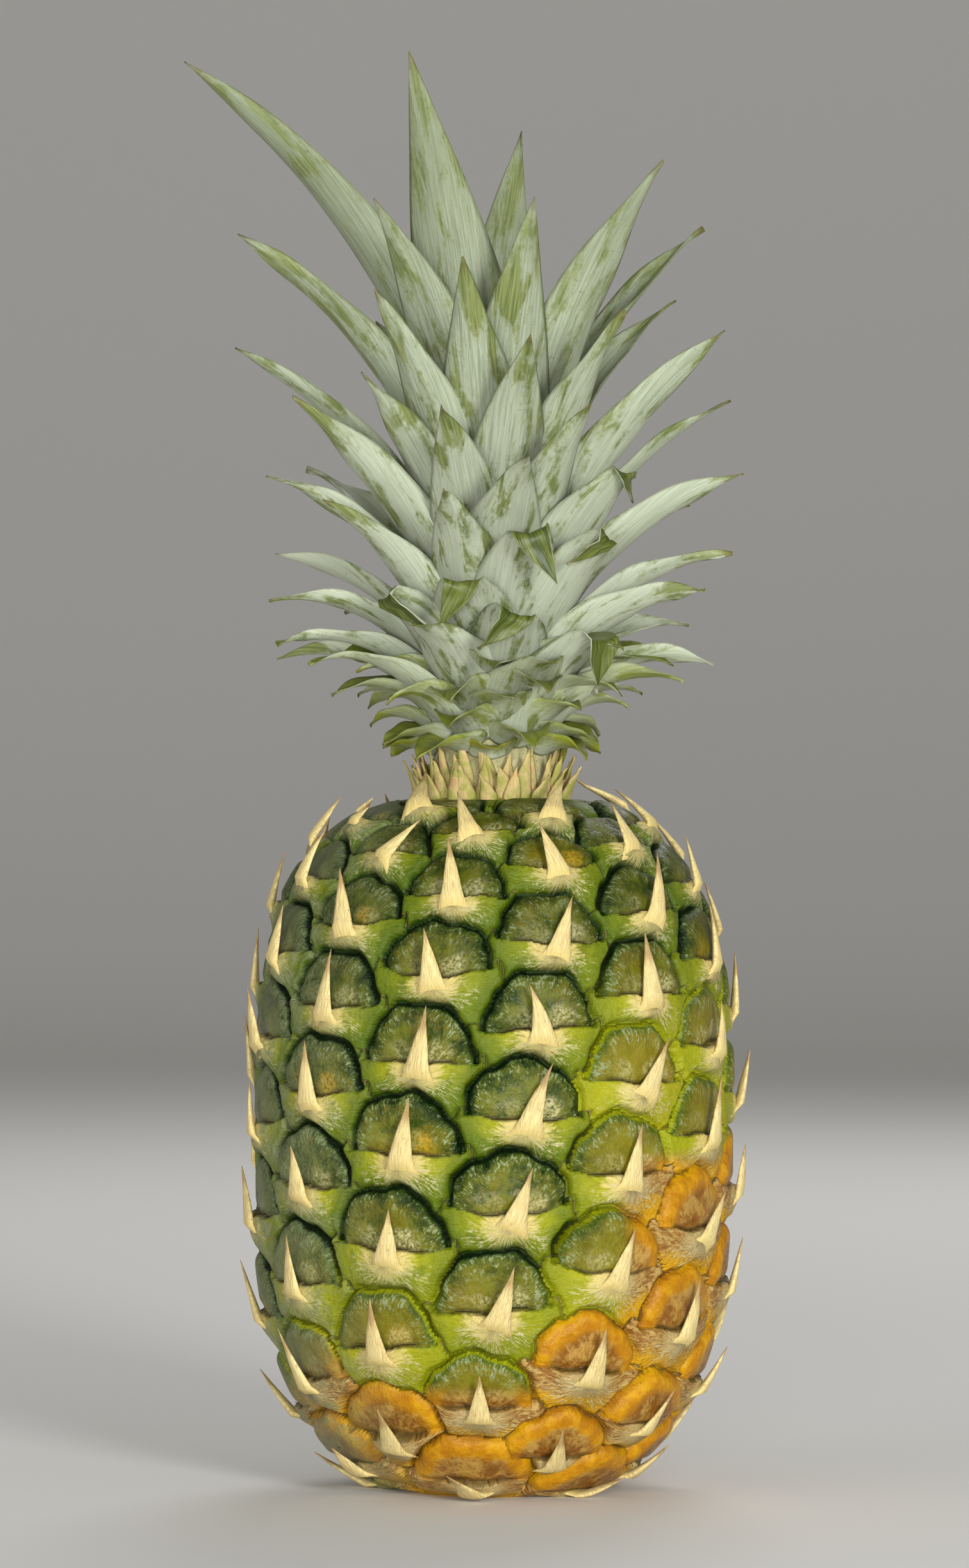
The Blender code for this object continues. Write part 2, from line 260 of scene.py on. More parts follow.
def make_rind():
    """Waxy eyes: dark ridged domes over yellow-green bracts, ripening to orange."""
    board = Board("rind")
    across, up, seed = board.attribute("eye_place")
    edge, dome, valley = board.attribute("eye_relief")
    ripe, turning, bloom = board.attribute("eye_tone")
    place = board.place()
    grain = board.noise(place, 1300.0, 3.0, 0.6)
    patches = board.noise(place, 210.0, 4.0, 0.62)
    broad = board.noise(place, 70.0, 3.0)
    side = board.absolute(across)
    angle = board.node("ShaderNodeMath", {"operation": "ARCTAN2"}, {0: across, 1: up + 3.0})
    reach = board.length(across, up + 2.0)
    streaks = board.noise(board.vector(angle * 5.0, reach * 0.20, seed), 2.2, 3.0, 0.62, 0.4)
    rim_ridges = board.noise(board.vector(angle * 15.0, reach * 0.5, seed), 1.5, 3.0, 0.6, 0.5)
    luck = board.noise(board.vector(seed, seed * 0.37, 0.0), 3.0, 0.0)

    # the dome, from its dark rim to the pale cheeks beside the spine
    heart = board.step(edge + patches * 4.0, 2.8, 5.2)
    dark = board.blend(board.step(patches, 0.35, 0.62), (0.004, 0.016, 0.001), (0.060, 0.100, 0.008))
    olive = board.blend(board.step(patches, 0.36, 0.62), (0.026, 0.048, 0.001), (0.125, 0.135, 0.003))
    olive = board.blend(board.step(broad * 0.5 + streaks * 0.5, 0.5, 0.62) * 0.5, olive, (0.17, 0.12, 0.004))
    dome_colour = board.blend(heart, dark, olive)
    turned_dome = board.blend(heart, (0.10, 0.15, 0.004), (0.25, 0.20, 0.010))
    dome_colour = board.blend(turning * 0.6, dome_colour, turned_dome)
    # painted highlight: whitish glints painted into the colour along the dome's rim, fewer where ripe
    near_rim = board.step(edge, 0.2, 1.0) * board.step(edge, 6.0, 3.0)
    painted_glint = board.step(rim_ridges * 0.75 + patches * 0.5 + grain * 0.2, 0.75, 0.86) * near_rim
    dome_colour = board.blend(painted_glint * (0.8 - ripe * 0.75), dome_colour, (0.30, 0.36, 0.19))
    cheek_x = (side - 4.4) / 3.7
    cheek_y = (up - 2.2) / 3.0
    cheek = board.step(cheek_x * cheek_x + cheek_y * cheek_y + (patches - 0.5) * 3.2, 1.5, 0.0)
    lit = board.step(across * (luck - 0.3) * 6.0, -6.0, 1.5) * 0.7 + 0.3
    cheek_fibres = board.step(streaks * 0.6 + grain * 0.4, 0.36, 0.6)
    cheek_colour = board.blend(cheek_fibres, (0.17, 0.15, 0.03), (0.52, 0.48, 0.22))
    flushed = board.step(luck, 0.5, 0.62) * board.step(broad, 0.42, 0.62)
    cheek_colour = board.blend(flushed, cheek_colour, (0.50, 0.30, 0.012))
    dome_colour = board.blend(cheek * lit * board.step(grain, 0.25, 0.6) * 0.9, dome_colour, cheek_colour)

    # a ripe dome: a smooth orange roll round a papery heart
    blotches = board.step(streaks * 0.35 + patches * 0.65, 0.42, 0.60)
    papery = board.blend(blotches, (0.17, 0.060, 0.008), (0.40, 0.24, 0.06))
    roll = board.blend(board.step(patches, 0.35, 0.7), (0.40, 0.160, 0.001), (0.58, 0.29, 0.001))
    ripe_dome = board.blend(board.step(edge + patches * 5.0, 5.6, 8.0) * 0.85, roll, papery)
    dome_colour = board.blend(ripe, dome_colour, ripe_dome)
    dusted = bloom * board.step(grain + patches * 0.5, 0.42, 0.95)
    dome_colour = board.blend(dusted, dome_colour, (0.15, 0.18, 0.085))

    # the bract: yellow-green shoulders that sink to green
    below = up * -1.0
    fresh = board.blend(board.step(below + patches * 4.0, 3.6, 9.0), (0.31, 0.32, 0.006), (0.120, 0.170, 0.002))
    fresh = board.blend(board.step(patches * 0.6 + streaks * 0.4, 0.50, 0.66) * 0.6, fresh, (0.050, 0.090, 0.001))
    fresh = board.blend(board.step(side + patches * 5.0, 8.5, 15.0) * 0.8, fresh, (0.090, 0.135, 0.002))
    fresh = board.blend(turning * 0.75, fresh, board.blend(broad, (0.26, 0.31, 0.003), (0.44, 0.38, 0.005)))
    dry = board.blend(board.step(streaks, 0.40, 0.62), (0.27, 0.12, 0.022), (0.50, 0.33, 0.10))
    gold = board.blend(patches, (0.50, 0.24, 0.002), (0.62, 0.36, 0.004))
    ripe_bract = board.blend(board.step(below + patches * 7.0, 7.0, 11.0), dry, gold)
    _, _, level = board.parts(place)
    high = board.step(level, 0.100, 0.160) * (1.0 - turning)
    fresh = board.blend(high * 0.6, fresh, (0.075, 0.120, 0.002))
    dome_colour = board.blend(high * 0.4, dome_colour, (0.012, 0.024, 0.001))
    bract_colour = board.blend(ripe, fresh, ripe_bract)
    foot_x = across / 6.0
    foot_y = (up + 1.8) / 4.2
    foot = board.step(foot_x * foot_x + foot_y * foot_y + (streaks - 0.5) * 2.6, 1.45, 0.2)
    foot_colour = board.blend(ripe * 0.7, (0.72, 0.57, 0.20), (0.58, 0.42, 0.19))
    bract_colour = board.blend(foot * 0.92, bract_colour, foot_colour)
    dust_x = across / 8.6
    dust_y = (up + 5.2) / 4.6
    dust = board.step(dust_x * dust_x + dust_y * dust_y + (streaks - 0.5) * 3.4, 1.5, 0.1)
    fibres = board.noise(board.vector(angle * 12.0, reach * 0.18, seed), 2.0, 2.0, 0.6)
    speckle = board.step(grain * 0.45 + fibres * 0.75, 0.58, 0.68)
    bract_colour = board.blend(dust * speckle * 0.9, bract_colour, (0.56, 0.51, 0.27))
    fibre = dust * board.step(streaks, 0.60, 0.68) * board.step(side, 7.0, 3.5) * board.step(below, 2.2, 3.6)
    bract_colour = board.blend(fibre * 0.75, bract_colour, (0.26, 0.115, 0.035))
    bract_colour = board.blend(bloom * board.step(patches + grain * 0.3, 0.45, 0.9), bract_colour, (0.24, 0.26, 0.13))

    colour = board.blend(dome, bract_colour, dome_colour)
    # painted shade: the grooves and the band round each dome's rim go near-black on the green rind; where the rind
    # turns or ripens they take the groove's own yellow-green or gold
    groove_shade_and_tone = board.step(valley + patches * 1.4, 1.9, 1.1)
    groove_shade_to_green = board.blend(board.step(turning, 0.2, 0.75), (0.001, 0.010, 0.001), (0.30, 0.33, 0.003))
    seam_gold = board.blend(board.step(broad, 0.42, 0.62), (0.30, 0.12, 0.004), (0.60, 0.34, 0.003))
    colour = board.blend(groove_shade_and_tone * (0.96 - ripe * 0.25), colour, board.blend(ripe, groove_shade_to_green, seam_gold))
    # painted shade: a darker green band on the bract beside the grooves, fading away from them
    shoulder = board.step(valley + patches, 4.4, 1.6) * (1.0 - dome) * (1.0 - ripe) * (1.0 - turning)
    colour = board.blend(shoulder * 0.35, colour, (0.022, 0.060, 0.001))
    # painted shade: a dark brown line in the crease where the dome meets the bract's lip
    crease_shade = board.step(up, -0.5, 0.1) * board.step(up, 1.2, 0.35) * board.step(side, 10.5, 7.5)
    colour = board.blend(crease_shade * 0.75, colour, (0.050, 0.035, 0.008))
    rot = board.step(board.noise(place, 125.0, 3.0, 0.7), 0.66, 0.72) * board.step(ripe, 0.4, 0.9)
    colour = board.blend(rot * 0.8, colour, (0.09, 0.030, 0.008))

    wet = board.step(grain * 0.6 + patches * 0.6, 0.72, 0.42) * (dome * 0.7 + 0.3)
    roughness = 0.52 - wet * 0.32 + rot * 0.1
    dry_share = (1.0 - dome) * (0.5 + ripe * 0.6)
    height = rim_ridges * board.step(edge, 7.0, 1.0) * dome * (1.0 - ripe * 0.8)
    height = height + (streaks * 0.6 + fibres * 0.6) * dry_share
    height = height + patches * 1.1 + grain * 0.12
    return board.finish(colour, roughness, height, 1.0 * MM, **{"Specular IOR Level": 0.20})


def make_spine_skin():
    """Dry cream spines with faint lengthwise fibres and browner tips."""
    board = Board("dry_spine")
    across, along, seed = board.attribute("spine_place")
    fibres = board.noise(board.vector(across * 3.0, along * 0.18, seed), 1.5, 3.0)
    specks = board.noise(board.place(), 1100.0, 2.0)
    colour = board.blend(board.step(fibres, 0.40, 0.68), (0.80, 0.66, 0.29), (0.60, 0.44, 0.17))
    colour = board.blend(board.step(specks, 0.62, 0.74) * 0.5, colour, (0.34, 0.19, 0.06))
    brown = board.step(along + fibres * 3.0, 13.0, 17.0)
    colour = board.blend(brown * 0.7, colour, (0.30, 0.16, 0.05))
    colour = board.blend(board.step(along + fibres * 3.0, 7.0, 3.0) * 0.7, colour, (0.70, 0.55, 0.18))
    return board.finish(colour, 0.62, fibres, 0.4 * MM)


def make_leaf_back():
    """The leaf's outer side: grey-green scurf with fine lines, rubbed to olive in patches."""
    board = Board("leaf_back")
    across, along, seed = board.attribute("leaf_place")
    share, side, young = board.attribute("leaf_tone")
    lines = board.noise(board.vector(across * 1.0, along * 0.030, seed), 2.0, 2.0, 0.6)
    fine = board.noise(board.vector(across * 2.2, along * 0.10, seed), 2.0, 1.0, 0.6)
    patch = board.noise(board.vector(across * 0.11, along * 0.026, seed), 2.0, 5.0, 0.62, 0.5)
    blot = board.noise(board.vector(across * 0.5, along * 0.42, seed), 1.2, 4.0, 0.72)
    grey = board.blend(board.step(lines, 0.25, 0.75), (0.225, 0.265, 0.165), (0.41, 0.455, 0.325))
    grey = board.blend(board.step(fine, 0.5, 0.8) * 0.5, grey, (0.50, 0.54, 0.42))
    rub = patch + board.step(share, 0.55, 1.0) * 0.10 + blot * 0.20 + lines * 0.16
    rubbed = board.step(rub, 0.68, 0.83)
    olive = board.blend(board.step(lines, 0.3, 0.7), (0.075, 0.105, 0.010), (0.210, 0.245, 0.055))
    colour = board.blend(rubbed * 0.85, grey, olive)
    shade = board.step(share, 0.6, 0.1)
    colour = board.blend(shade * 0.15, colour, (0.12, 0.15, 0.07))
    fresh = board.blend(lines, (0.15, 0.20, 0.010), (0.34, 0.36, 0.020))
    young_here = young * board.step(blot * 0.6 + share * 0.6 + side * 0.15, 0.35, 0.85)
    colour = board.blend(young_here, colour, fresh)
    golden = board.step(young + share * 0.6 + blot * 0.3, 1.55, 2.05)
    colour = board.blend(golden * 0.8, colour, (0.52, 0.40, 0.03))
    scratch = board.noise(board.vector(across * 0.20, along * 1.3, seed), 2.0, 2.0, 0.5, 1.4)
    mark = board.step(scratch, 0.72, 0.75)
    colour = board.blend(mark * 0.7, colour, (0.045, 0.060, 0.022))
    margin = board.step(side + (blot - 0.5) * 0.06, 0.88, 0.97)
    colour = board.blend(margin * 0.55, colour, (0.085, 0.110, 0.030))
    tip = board.step(share + (blot - 0.5) * 0.05, 0.93, 0.99)
    colour = board.blend(tip * 0.7, colour, (0.13, 0.105, 0.03))
    _, _, level = board.parts(board.place())
    # painted light: the lower crown leaves are lightened towards pale grey-green, except where rubbed or young
    painted_light_low = board.step(level, 0.300, 0.225)
    colour = board.blend(painted_light_low * (1.0 - rubbed) * (1.0 - young_here) * 0.42, colour, (0.60, 0.64, 0.50))
    # painted shade: the upper crown leaves are darkened, less where rubbed
    painted_shade_high = board.step(level, 0.285, 0.345)
    colour = board.blend(painted_shade_high * (1.0 - rubbed * 0.6) * 0.55, colour, (0.15, 0.175, 0.095))
    height = lines * 0.7 + fine * 0.15 + mark * -0.3 + rubbed * -0.1
    return board.finish(colour, 0.62 - rubbed * 0.16, height, 0.22 * MM, **{"Specular IOR Level": 0.3})


def make_leaf_face():
    """The leaf's inner side: deeper green, smoother, with lengthwise lines."""
    board = Board("leaf_face")
    across, along, seed = board.attribute("leaf_place")
    _, side, young = board.attribute("leaf_tone")
    lines = board.noise(board.vector(across * 1.0, along * 0.03, seed), 2.0, 2.0, 0.6)
    patch = board.noise(board.vector(across * 0.16, along * 0.06, seed), 2.0, 4.0, 0.65)
    colour = board.blend(board.step(lines, 0.3, 0.7), (0.030, 0.050, 0.004), (0.125, 0.155, 0.018))
    colour = board.blend(board.step(patch, 0.5, 0.68) * 0.5, colour, (0.19, 0.22, 0.075))
    colour = board.blend(young * 0.5, colour, (0.22, 0.25, 0.012))
    colour = board.blend(board.step(side, 0.9, 0.99) * 0.6, colour, (0.17, 0.16, 0.04))
    return board.finish(colour, 0.42, lines, 0.25 * MM)


def make_bract_skin():
    """The neck's dry bracts: cream, green at the foot, with brown edges and tips."""
    board = Board("neck_bract")
    across, along, seed = board.attribute("leaf_place")
    _, side, _ = board.attribute("leaf_tone")
    fibres = board.noise(board.vector(across * 2.6, along * 0.16, seed), 2.0, 3.0, 0.6)
    blot = board.noise(board.place(), 260.0, 3.0)
    colour = board.blend(fibres, (0.40, 0.27, 0.09), (0.74, 0.60, 0.27))
    colour = board.blend(board.step(blot, 0.42, 0.62) * 0.75, colour, (0.30, 0.33, 0.04))
    colour = board.blend(board.step(blot, 0.40, 0.32) * 0.6, colour, (0.60, 0.30, 0.12))
    colour = board.blend(board.step(side + fibres * 0.2, 0.95, 1.08) * 0.6, colour, (0.28, 0.15, 0.05))
    return board.finish(colour, 0.68, fibres, 0.3 * MM)


def make_plain_tissue(name, light, dark, scale):
    board = Board(name)
    place = board.place()
    rings = board.noise(place, scale, 4.0, 0.65)
    specks = board.noise(place, scale * 4, 2.0)
    colour = board.blend(board.step(rings, 0.35, 0.65), dark, light)
    colour = board.blend(board.step(specks, 0.58, 0.7) * 0.6, colour, tuple(c * 0.35 for c in dark))
    return board.finish(colour, 0.8, rings, 0.6 * MM)


# ---------------------------------------------------------------- the fruit


def outline_radius(height):
    """The fruit's outline: two super-ellipses that meet at the belly."""
    belly = FRUIT_DIAMETER / 2
    radius = np.zeros_like(height)
    halves = (
        (height > BELLY_HEIGHT, SHOULDER_FULLNESS, NECK_DIAMETER / 2, FRUIT_HEIGHT - BELLY_HEIGHT),
        (height <= BELLY_HEIGHT, FOOT_FULLNESS, BASE_SPOT_DIAMETER / 2, BELLY_HEIGHT),
    )
    for half, (rise, fullness), end_radius, end_distance in halves:
        end_share = (1 - (end_radius / belly) ** fullness) ** (1 / rise)
        share = np.abs(height - BELLY_HEIGHT) / end_distance * end_share
        radius = np.where(half, belly * (1 - share**rise).clip(0) ** (1 / fullness), radius)
    return radius


def outline_walk(steps=1200):
    """Distance, radius, height and slope of points down the outline from the neck."""
    height = FRUIT_HEIGHT * (1 + np.cos(np.pi * np.arange(steps + 1) / steps)) / 2
    radius = outline_radius(height)
    distance = np.concatenate([[0], np.cumsum(np.hypot(np.diff(radius), np.diff(height)))])
    slope = np.arctan2(np.gradient(radius, distance), -np.gradient(height, distance))
    return distance, radius, height, slope


def eye_places():
    """Azimuth and distance down the outline of each eye, and its size against the usual."""
    walk = outline_walk()
    whole = walk[0][-1]
    number = np.arange(EYE_COUNT)
    turned = number / EYE_COUNT
    down = whole * (turned - EYE_CROWDING * np.sin(np.pi * turned))
    kept = (down > EYE_END_MARGIN) & (down < whole - EYE_END_MARGIN)
    number, down = number[kept], down[kept]
    azimuth = FIRST_EYE_AZIMUTH + number * EYE_TURN
    radius = np.interp(down, walk[0], walk[1])
    sizes = []
    for i in range(len(number)):
        gap = np.hypot(wrapped(azimuth - azimuth[i]) * (radius + radius[i]) / 2, down - down[i])
        sizes.append(np.sort(gap)[1:7].mean() / 2)
    size = np.array(sizes) / USUAL_EYE
    return azimuth, down, radius, size


def wrapped(angle):
    return (angle + np.pi) % math.tau - np.pi


def ripeness(azimuth, height):
    """How orange the rind is, and how far it has begun to turn, before eye-to-eye changes."""
    degrees = np.degrees(wrapped(azimuth))
    flank = smooth(degrees, 20, 42) * smooth(degrees, 122, 96) * smooth(height, 98 * MM, 78 * MM)
    rear = smooth(degrees, 120, 150) * smooth(height, 62 * MM, 40 * MM) * 0.8
    front = smooth(degrees, -80, -40) * 0.5 + 0.5
    foot = smooth(height, 40 * MM, 18 * MM) * front
    warm_flank = smooth(degrees, 6, 38) * smooth(degrees, 150, 118) * smooth(height, 150 * MM, 112 * MM)
    warm_foot = smooth(height, 76 * MM, 40 * MM) * front
    return np.clip(flank + rear + foot, 0, 1), np.clip(warm_flank + warm_foot * 0.85 + rear, 0, 1)


RIND_COLUMNS = 624
RIND_ROWS = 430
RIND_PIECES = 4
NEAR_EYES = 7


def rind_fields():
    """The whole rind as a table of points, with what its finish needs to know at each."""
    walk = outline_walk()
    whole = walk[0][-1]
    down = np.linspace(0, whole, RIND_ROWS)
    azimuth = np.linspace(-np.pi, np.pi, RIND_COLUMNS, endpoint=False)
    eye_azimuth, eye_down, eye_radius, eye_size = eye_places()
    dice = np.random.default_rng(11)
    count = len(eye_azimuth)
    tilt = dice.normal(0, 0.045, count)
    bend = dice.normal(-0.7, 0.7, count)
    swell = dice.normal(1, 0.16, count)
    ripe_luck = dice.normal(0, 0.24, count)
    seeds = dice.uniform(0, 50, count)

    radius = np.interp(down, walk[0], walk[1])
    height = np.interp(down, walk[0], walk[2])
    slope = np.interp(down, walk[0], walk[3])
    lift = np.zeros((RIND_ROWS, RIND_COLUMNS))
    place = np.zeros((RIND_ROWS, RIND_COLUMNS, 3))
    relief = np.zeros((RIND_ROWS, RIND_COLUMNS, 3))
    tone = np.zeros((RIND_ROWS, RIND_COLUMNS, 3))
    for row in range(RIND_ROWS):
        near = np.abs(eye_down - down[row]) < 34 * MM
        ids = np.nonzero(near)[0]
        turn = wrapped(azimuth[:, None] - eye_azimuth[ids][None, :])
        u = turn * radius[row] * 0.5 + turn * eye_radius[ids][None, :] * 0.5
        v = eye_down[ids][None, :] - down[row] + 0 * u
        order = np.argpartition(u * u + v * v, NEAR_EYES, axis=1)[:, :NEAR_EYES]
        rows = np.arange(RIND_COLUMNS)[:, None]
        eyes = ids[order]
        size = eye_size[eyes]
        u = u[rows, order] / size
        v = v[rows, order] / size + LIP_DROP + tilt[eyes] * u
        v = v + 0.35 * MM * np.sin(u / (1.7 * MM) + seeds[eyes]) + 0.6 * MM * (u / (10 * MM)) ** 2 * bend[eyes]
        turned = np.arctan2(u, v + 4 * MM)
        ragged = 1 + 0.022 * np.sin(turned * 7 + seeds[eyes]) + 0.014 * np.sin(turned * 17 + seeds[eyes] * 3)

        q = np.hypot(u / DOME_HALF_WIDTH, v / DOME_HEIGHT) * ragged
        q = np.where(v > 0, q, 9.0)
        own = q.argmin(axis=1)
        pick = (np.arange(RIND_COLUMNS), own)
        inside = q[pick]
        in_dome = inside < 1
        w = np.hypot(u / BRACT_HALF_WIDTH, v / BRACT_DEPTH) * ragged
        w = np.where(v <= 0.2 * MM + 0.4 * np.clip(np.abs(u) - 10.5 * MM, 0, 4 * MM), w, w + 3.0)
        sorted_w = np.sort(w, axis=1)
        bract = w.argmin(axis=1)
        holder = np.where(in_dome, own, bract)
        held = (np.arange(RIND_COLUMNS), holder)
        eye = eyes[held]
        uu, vv = u[held], v[held]

        edge = (1 - inside) * DOME_HEIGHT
        bract_seam = (sorted_w[:, 1] - sorted_w[:, 0]) * BRACT_DEPTH
        rise = np.clip(edge / (3.6 * MM), 0, 1)
        dome_lift = -2.1 * MM + 3.4 * MM * np.sqrt(1 - (1 - rise) ** 2) * swell[eye]
        dome_lift = dome_lift - 0.9 * MM * smooth(vv, 3 * MM, 0 * MM)
        outside = np.clip(-edge, 0, None)
        shelf = 1.5 * MM * np.exp(-((uu / (10 * MM)) ** 2)) * smooth(vv, -11 * MM, -1 * MM) + 0.35 * MM
        shelf = shelf - 0.9 * MM * smooth(vv, -6 * MM, -12 * MM)
        side = np.minimum(smooth(outside, 0, 1.5 * MM), 0.35 + 0.65 * smooth(bract_seam, 0, 1.8 * MM))
        side = np.where(inside > 8, 0.35 + 0.65 * smooth(bract_seam, 0, 1.8 * MM), side)
        shelf = shelf + 1.0 * MM * np.exp(-((uu / (4.6 * MM)) ** 2) - ((vv + 3.4 * MM) / (3.0 * MM)) ** 2)
        bract_lift = -2.1 * MM + (shelf + 2.1 * MM) * side
        lift[row] = np.where(in_dome, dome_lift, bract_lift)
        valley = np.where(in_dome, edge, np.minimum(np.where(inside > 8, 9 * MM, outside), bract_seam + 0.6 * MM))

        place[row] = np.stack([uu / MM, vv / MM, seeds[eye]], -1)
        relief[row] = np.stack([edge / MM, in_dome * 1.0, valley / MM], -1)
        eye_height = np.interp(eye_down[eye], walk[0], walk[2])
        orange, warm = ripeness(azimuth, height[row])
        orange_eye, warm_eye = ripeness(eye_azimuth[eye], eye_height)
        ripe = smooth(orange * 0.65 + orange_eye * 0.35 + ripe_luck[eye] * warm, 0.34, 0.60)
        turn_share = np.clip(warm * 0.75 + warm_eye * 0.25 + ripe_luck[eye] * 0.6, 0, 1)
        degrees = np.degrees(wrapped(azimuth))
        dusty = smooth(degrees, -22, -66) * smooth(degrees, -175, -130) + 0.03
        tone[row] = np.stack([ripe, turn_share, dusty], -1)

    ends = smooth(down, 0, 5 * MM) * smooth(down, whole, whole - 5 * MM)
    lift = lift * ends[:, None]
    across = polar(np.cos(slope)[:, None] + 0 * lift, azimuth[None, :], np.sin(slope)[:, None])
    points = polar(radius[:, None] + 0 * lift, azimuth[None, :], height[:, None]) + across * lift[..., None]
    return points, place, relief, tone


def surface_normals(points):
    """Normals of a table of points that closes round the axis."""
    round_step = np.roll(points, -1, axis=1) - np.roll(points, 1, axis=1)
    down_step = np.gradient(points, axis=0)
    normal = np.cross(down_step, round_step)
    return normal / np.linalg.norm(normal, axis=-1, keepdims=True).clip(1e-12)


def make_rind_pieces(skin):
    """The rind in upright strips, which meet edge to edge and share their normals."""
    points, place, relief, tone = rind_fields()
    normals = surface_normals(points)
    strip = RIND_COLUMNS // RIND_PIECES
    pieces = []
    for number in range(RIND_PIECES):
        deselect_all()
        bpy.ops.mesh.primitive_grid_add(x_subdivisions=strip, y_subdivisions=RIND_ROWS - 1, size=1)
        piece = bpy.context.object
        piece.name = f"rind_{number + 1}"
        flat = points_of(piece)
        column = np.rint((flat[:, 0] + 0.5) * strip).astype(int) + number * strip
        column = column % RIND_COLUMNS
        row = np.rint((0.5 - flat[:, 1]) * (RIND_ROWS - 1)).astype(int)
        move_points(piece, points[row, column])
        write_attribute(piece, "eye_place", place[row, column])
        write_attribute(piece, "eye_relief", relief[row, column])
        write_attribute(piece, "eye_tone", tone[row, column])
        piece.data.materials.append(skin)
        activate(piece)
        bpy.ops.object.shade_smooth()
        piece.data.normals_split_custom_set_from_vertices(normals[row, column])
        pieces.append(piece)
    return pieces


def spine_template():
    """One spine along +Z: a flared foot, a flat blade and a thin point."""
    deselect_all()
    bpy.ops.mesh.primitive_circle_add(vertices=10, radius=1, fill_type="NGON")
    spine = bpy.context.object
    spine.name = "spine_template"
    bpy.ops.object.mode_set(mode="EDIT")
    bpy.ops.mesh.select_all(action="SELECT")
    for _ in range(9):
        bpy.ops.mesh.extrude_region_move(TRANSFORM_OT_translate={"value": (0, 0, 1)})
    bpy.ops.object.mode_set(mode="OBJECT")
    return spine


SPINE_SECTIONS = (
    (0.0, 9.5, 1.2),
    (1.6, 8.0, 2.0),
    (3.4, 6.4, 2.4),
    (5.2, 5.3, 2.2),
    (7.4, 4.5, 1.9),
    (9.8, 3.6, 1.5),
    (12.4, 2.5, 1.1),
    (14.6, 1.5, 0.8),
    (16.8, 0.8, 0.5),
    (18.8, 0.14, 0.14),
)


def make_spines(skin):
    """A spine on each eye, each with its own length, lean, twist and curl."""
    walk = outline_walk()
    azimuths, downs, _, sizes = eye_places()
    template = spine_template()
    raw = points_of(template)
    level = np.rint(raw[:, 2]).astype(int)
    sections = np.array(SPINE_SECTIONS) * MM
    dice = random.Random(5)
    spines = []
    for number, (azimuth, down, size) in enumerate(zip(azimuths, downs, sizes)):
        spine = template.copy()
        spine.data = template.data.copy()
        bpy.context.scene.collection.objects.link(spine)
        length = dice.uniform(0.86, 1.10) * min(1.0, size * 1.02)
        lean = math.radians(dice.gauss(2, 11))
        stand = math.radians(dice.uniform(2, 10))
        curl = dice.gauss(0, 1) * 2.2 * MM
        twist = math.radians(dice.gauss(0, 22))
        blunt = dice.random() < 0.01
        along = sections[level, 0] * length * (0.45 if blunt else 1.0)
        share = along / (sections[-1, 0] * length)
        wide = raw[:, 0] * sections[level, 1] / 2 * size
        thick = raw[:, 1] * sections[level, 2] / 2
        turned = twist * share
        x = wide * np.cos(turned) - thick * np.sin(turned)
        y = wide * np.sin(turned) + thick * np.cos(turned)
        x = x + curl * share**2
        y = y + 1.4 * MM * share**2 * dice.uniform(-0.4, 1.0)
        z = along
        lean_x = x * math.cos(lean) + z * math.sin(lean)
        lean_z = z * math.cos(lean) - x * math.sin(lean) * (1 - share)
        out = y + lean_z * math.tan(stand) + 2.0 * MM * smooth(along, 0, 3.4 * MM)
        foot = min(down + (LIP_DROP + 4.6 * MM) * size, walk[0][-1] - 5 * MM)
        slope = np.interp(foot, walk[0], walk[3])
        radius = np.interp(foot, walk[0], walk[1])
        height = np.interp(foot, walk[0], walk[2])
        side = np.array([math.cos(azimuth), math.sin(azimuth), 0])
        outwards = polar(np.array(math.cos(slope)), azimuth, math.sin(slope))
        upwards = polar(np.array(-math.sin(slope)), azimuth, math.cos(slope))
        root = polar(np.array(radius), azimuth, height)
        straight = root + lean_z[:, None] * upwards
        reach = np.clip(foot - lean_z, 0, None)
        beyond = (lean_z - foot + reach)[:, None] * upwards
        hugging = polar(np.interp(reach, walk[0], walk[1]), azimuth, np.interp(reach, walk[0], walk[2])) + beyond
        places = straight * 0.3 + hugging * 0.7 + lean_x[:, None] * side + (out + 0.7 * MM)[:, None] * outwards
        places[:, 2] = places[:, 2].clip(0.2 * MM)
        move_points(spine, places)
        detail = np.stack([wide / MM, along / MM, np.full(len(raw), number * 1.7)], -1)
        write_attribute(spine, "spine_place", detail)
        spines.append(spine)
    bpy.data.objects.remove(template, do_unlink=True)
    piece = join(spines, "eye_spines")
    piece.data.materials.clear()
    piece.data.materials.append(skin)
    activate(piece)
    bpy.ops.object.mode_set(mode="EDIT")
    bpy.ops.mesh.select_all(action="SELECT")
    bpy.ops.mesh.normals_make_consistent(inside=False)
    bpy.ops.object.mode_set(mode="OBJECT")
    bpy.ops.object.shade_smooth()
    return piece


# ---------------------------------------------------------------- the crown

